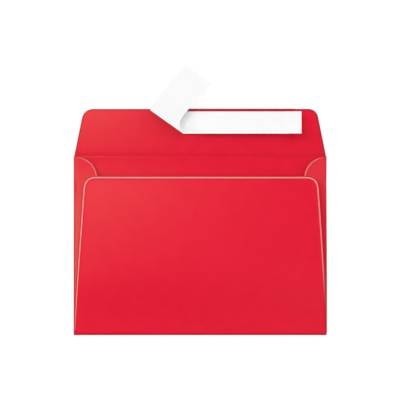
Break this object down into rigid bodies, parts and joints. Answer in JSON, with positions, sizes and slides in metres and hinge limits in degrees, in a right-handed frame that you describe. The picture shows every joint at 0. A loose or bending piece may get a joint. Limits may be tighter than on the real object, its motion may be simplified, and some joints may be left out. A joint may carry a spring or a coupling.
{
  "type": "peel-and-seal envelope",
  "caption": "Red paper envelope seen from the back, with an open seal flap on a scored crease and a white release liner partly peeled off its adhesive strip.",
  "frame": {"origin": "middle of the front panel's outer face, between the side folds and between the bottom fold and the flap's fold", "axes": "+X along the flap's fold, +Y from the bottom fold towards the flap's free edge, +Z out of the back panel"},
  "size_m": [0.162, 0.1728, 0.0073],
  "materials": {
    "envelope_paper": "smooth uncoated red paper",
    "seam_gum": "dried gum",
    "clear_adhesive": "clear tacky film",
    "liner_paper": "smooth white silicone-coated paper"
  },
  "bodies": {
    "pocket": {"front_panel": "envelope_paper", "back_panel": "envelope_paper", "left_side_flap": "envelope_paper", "right_side_flap": "envelope_paper", "left_fold": "envelope_paper", "right_fold": "envelope_paper", "bottom_fold": "envelope_paper", "flap_crease": "envelope_paper", "left_seam_gum": "seam_gum", "right_seam_gum": "seam_gum"},
    "flap": {"seal_flap": "envelope_paper", "adhesive_strip": "clear_adhesive"},
    "liner": {"release_liner": "liner_paper", "liner_curl": "liner_paper", "liner_tail": "liner_paper"}
  },
  "joints": [
    {"name": "flap_fold", "type": "hinge", "parent": "pocket", "child": "flap", "pos_m": [0, 0.057, 0.0012], "axis": [1, 0, 0], "range_deg": [0, 172]},
    {"name": "liner_pull", "type": "slide", "parent": "flap", "child": "liner", "axis": [0.5793, 0.8151, 0], "range_m": [0, 0.045]}
  ]
}
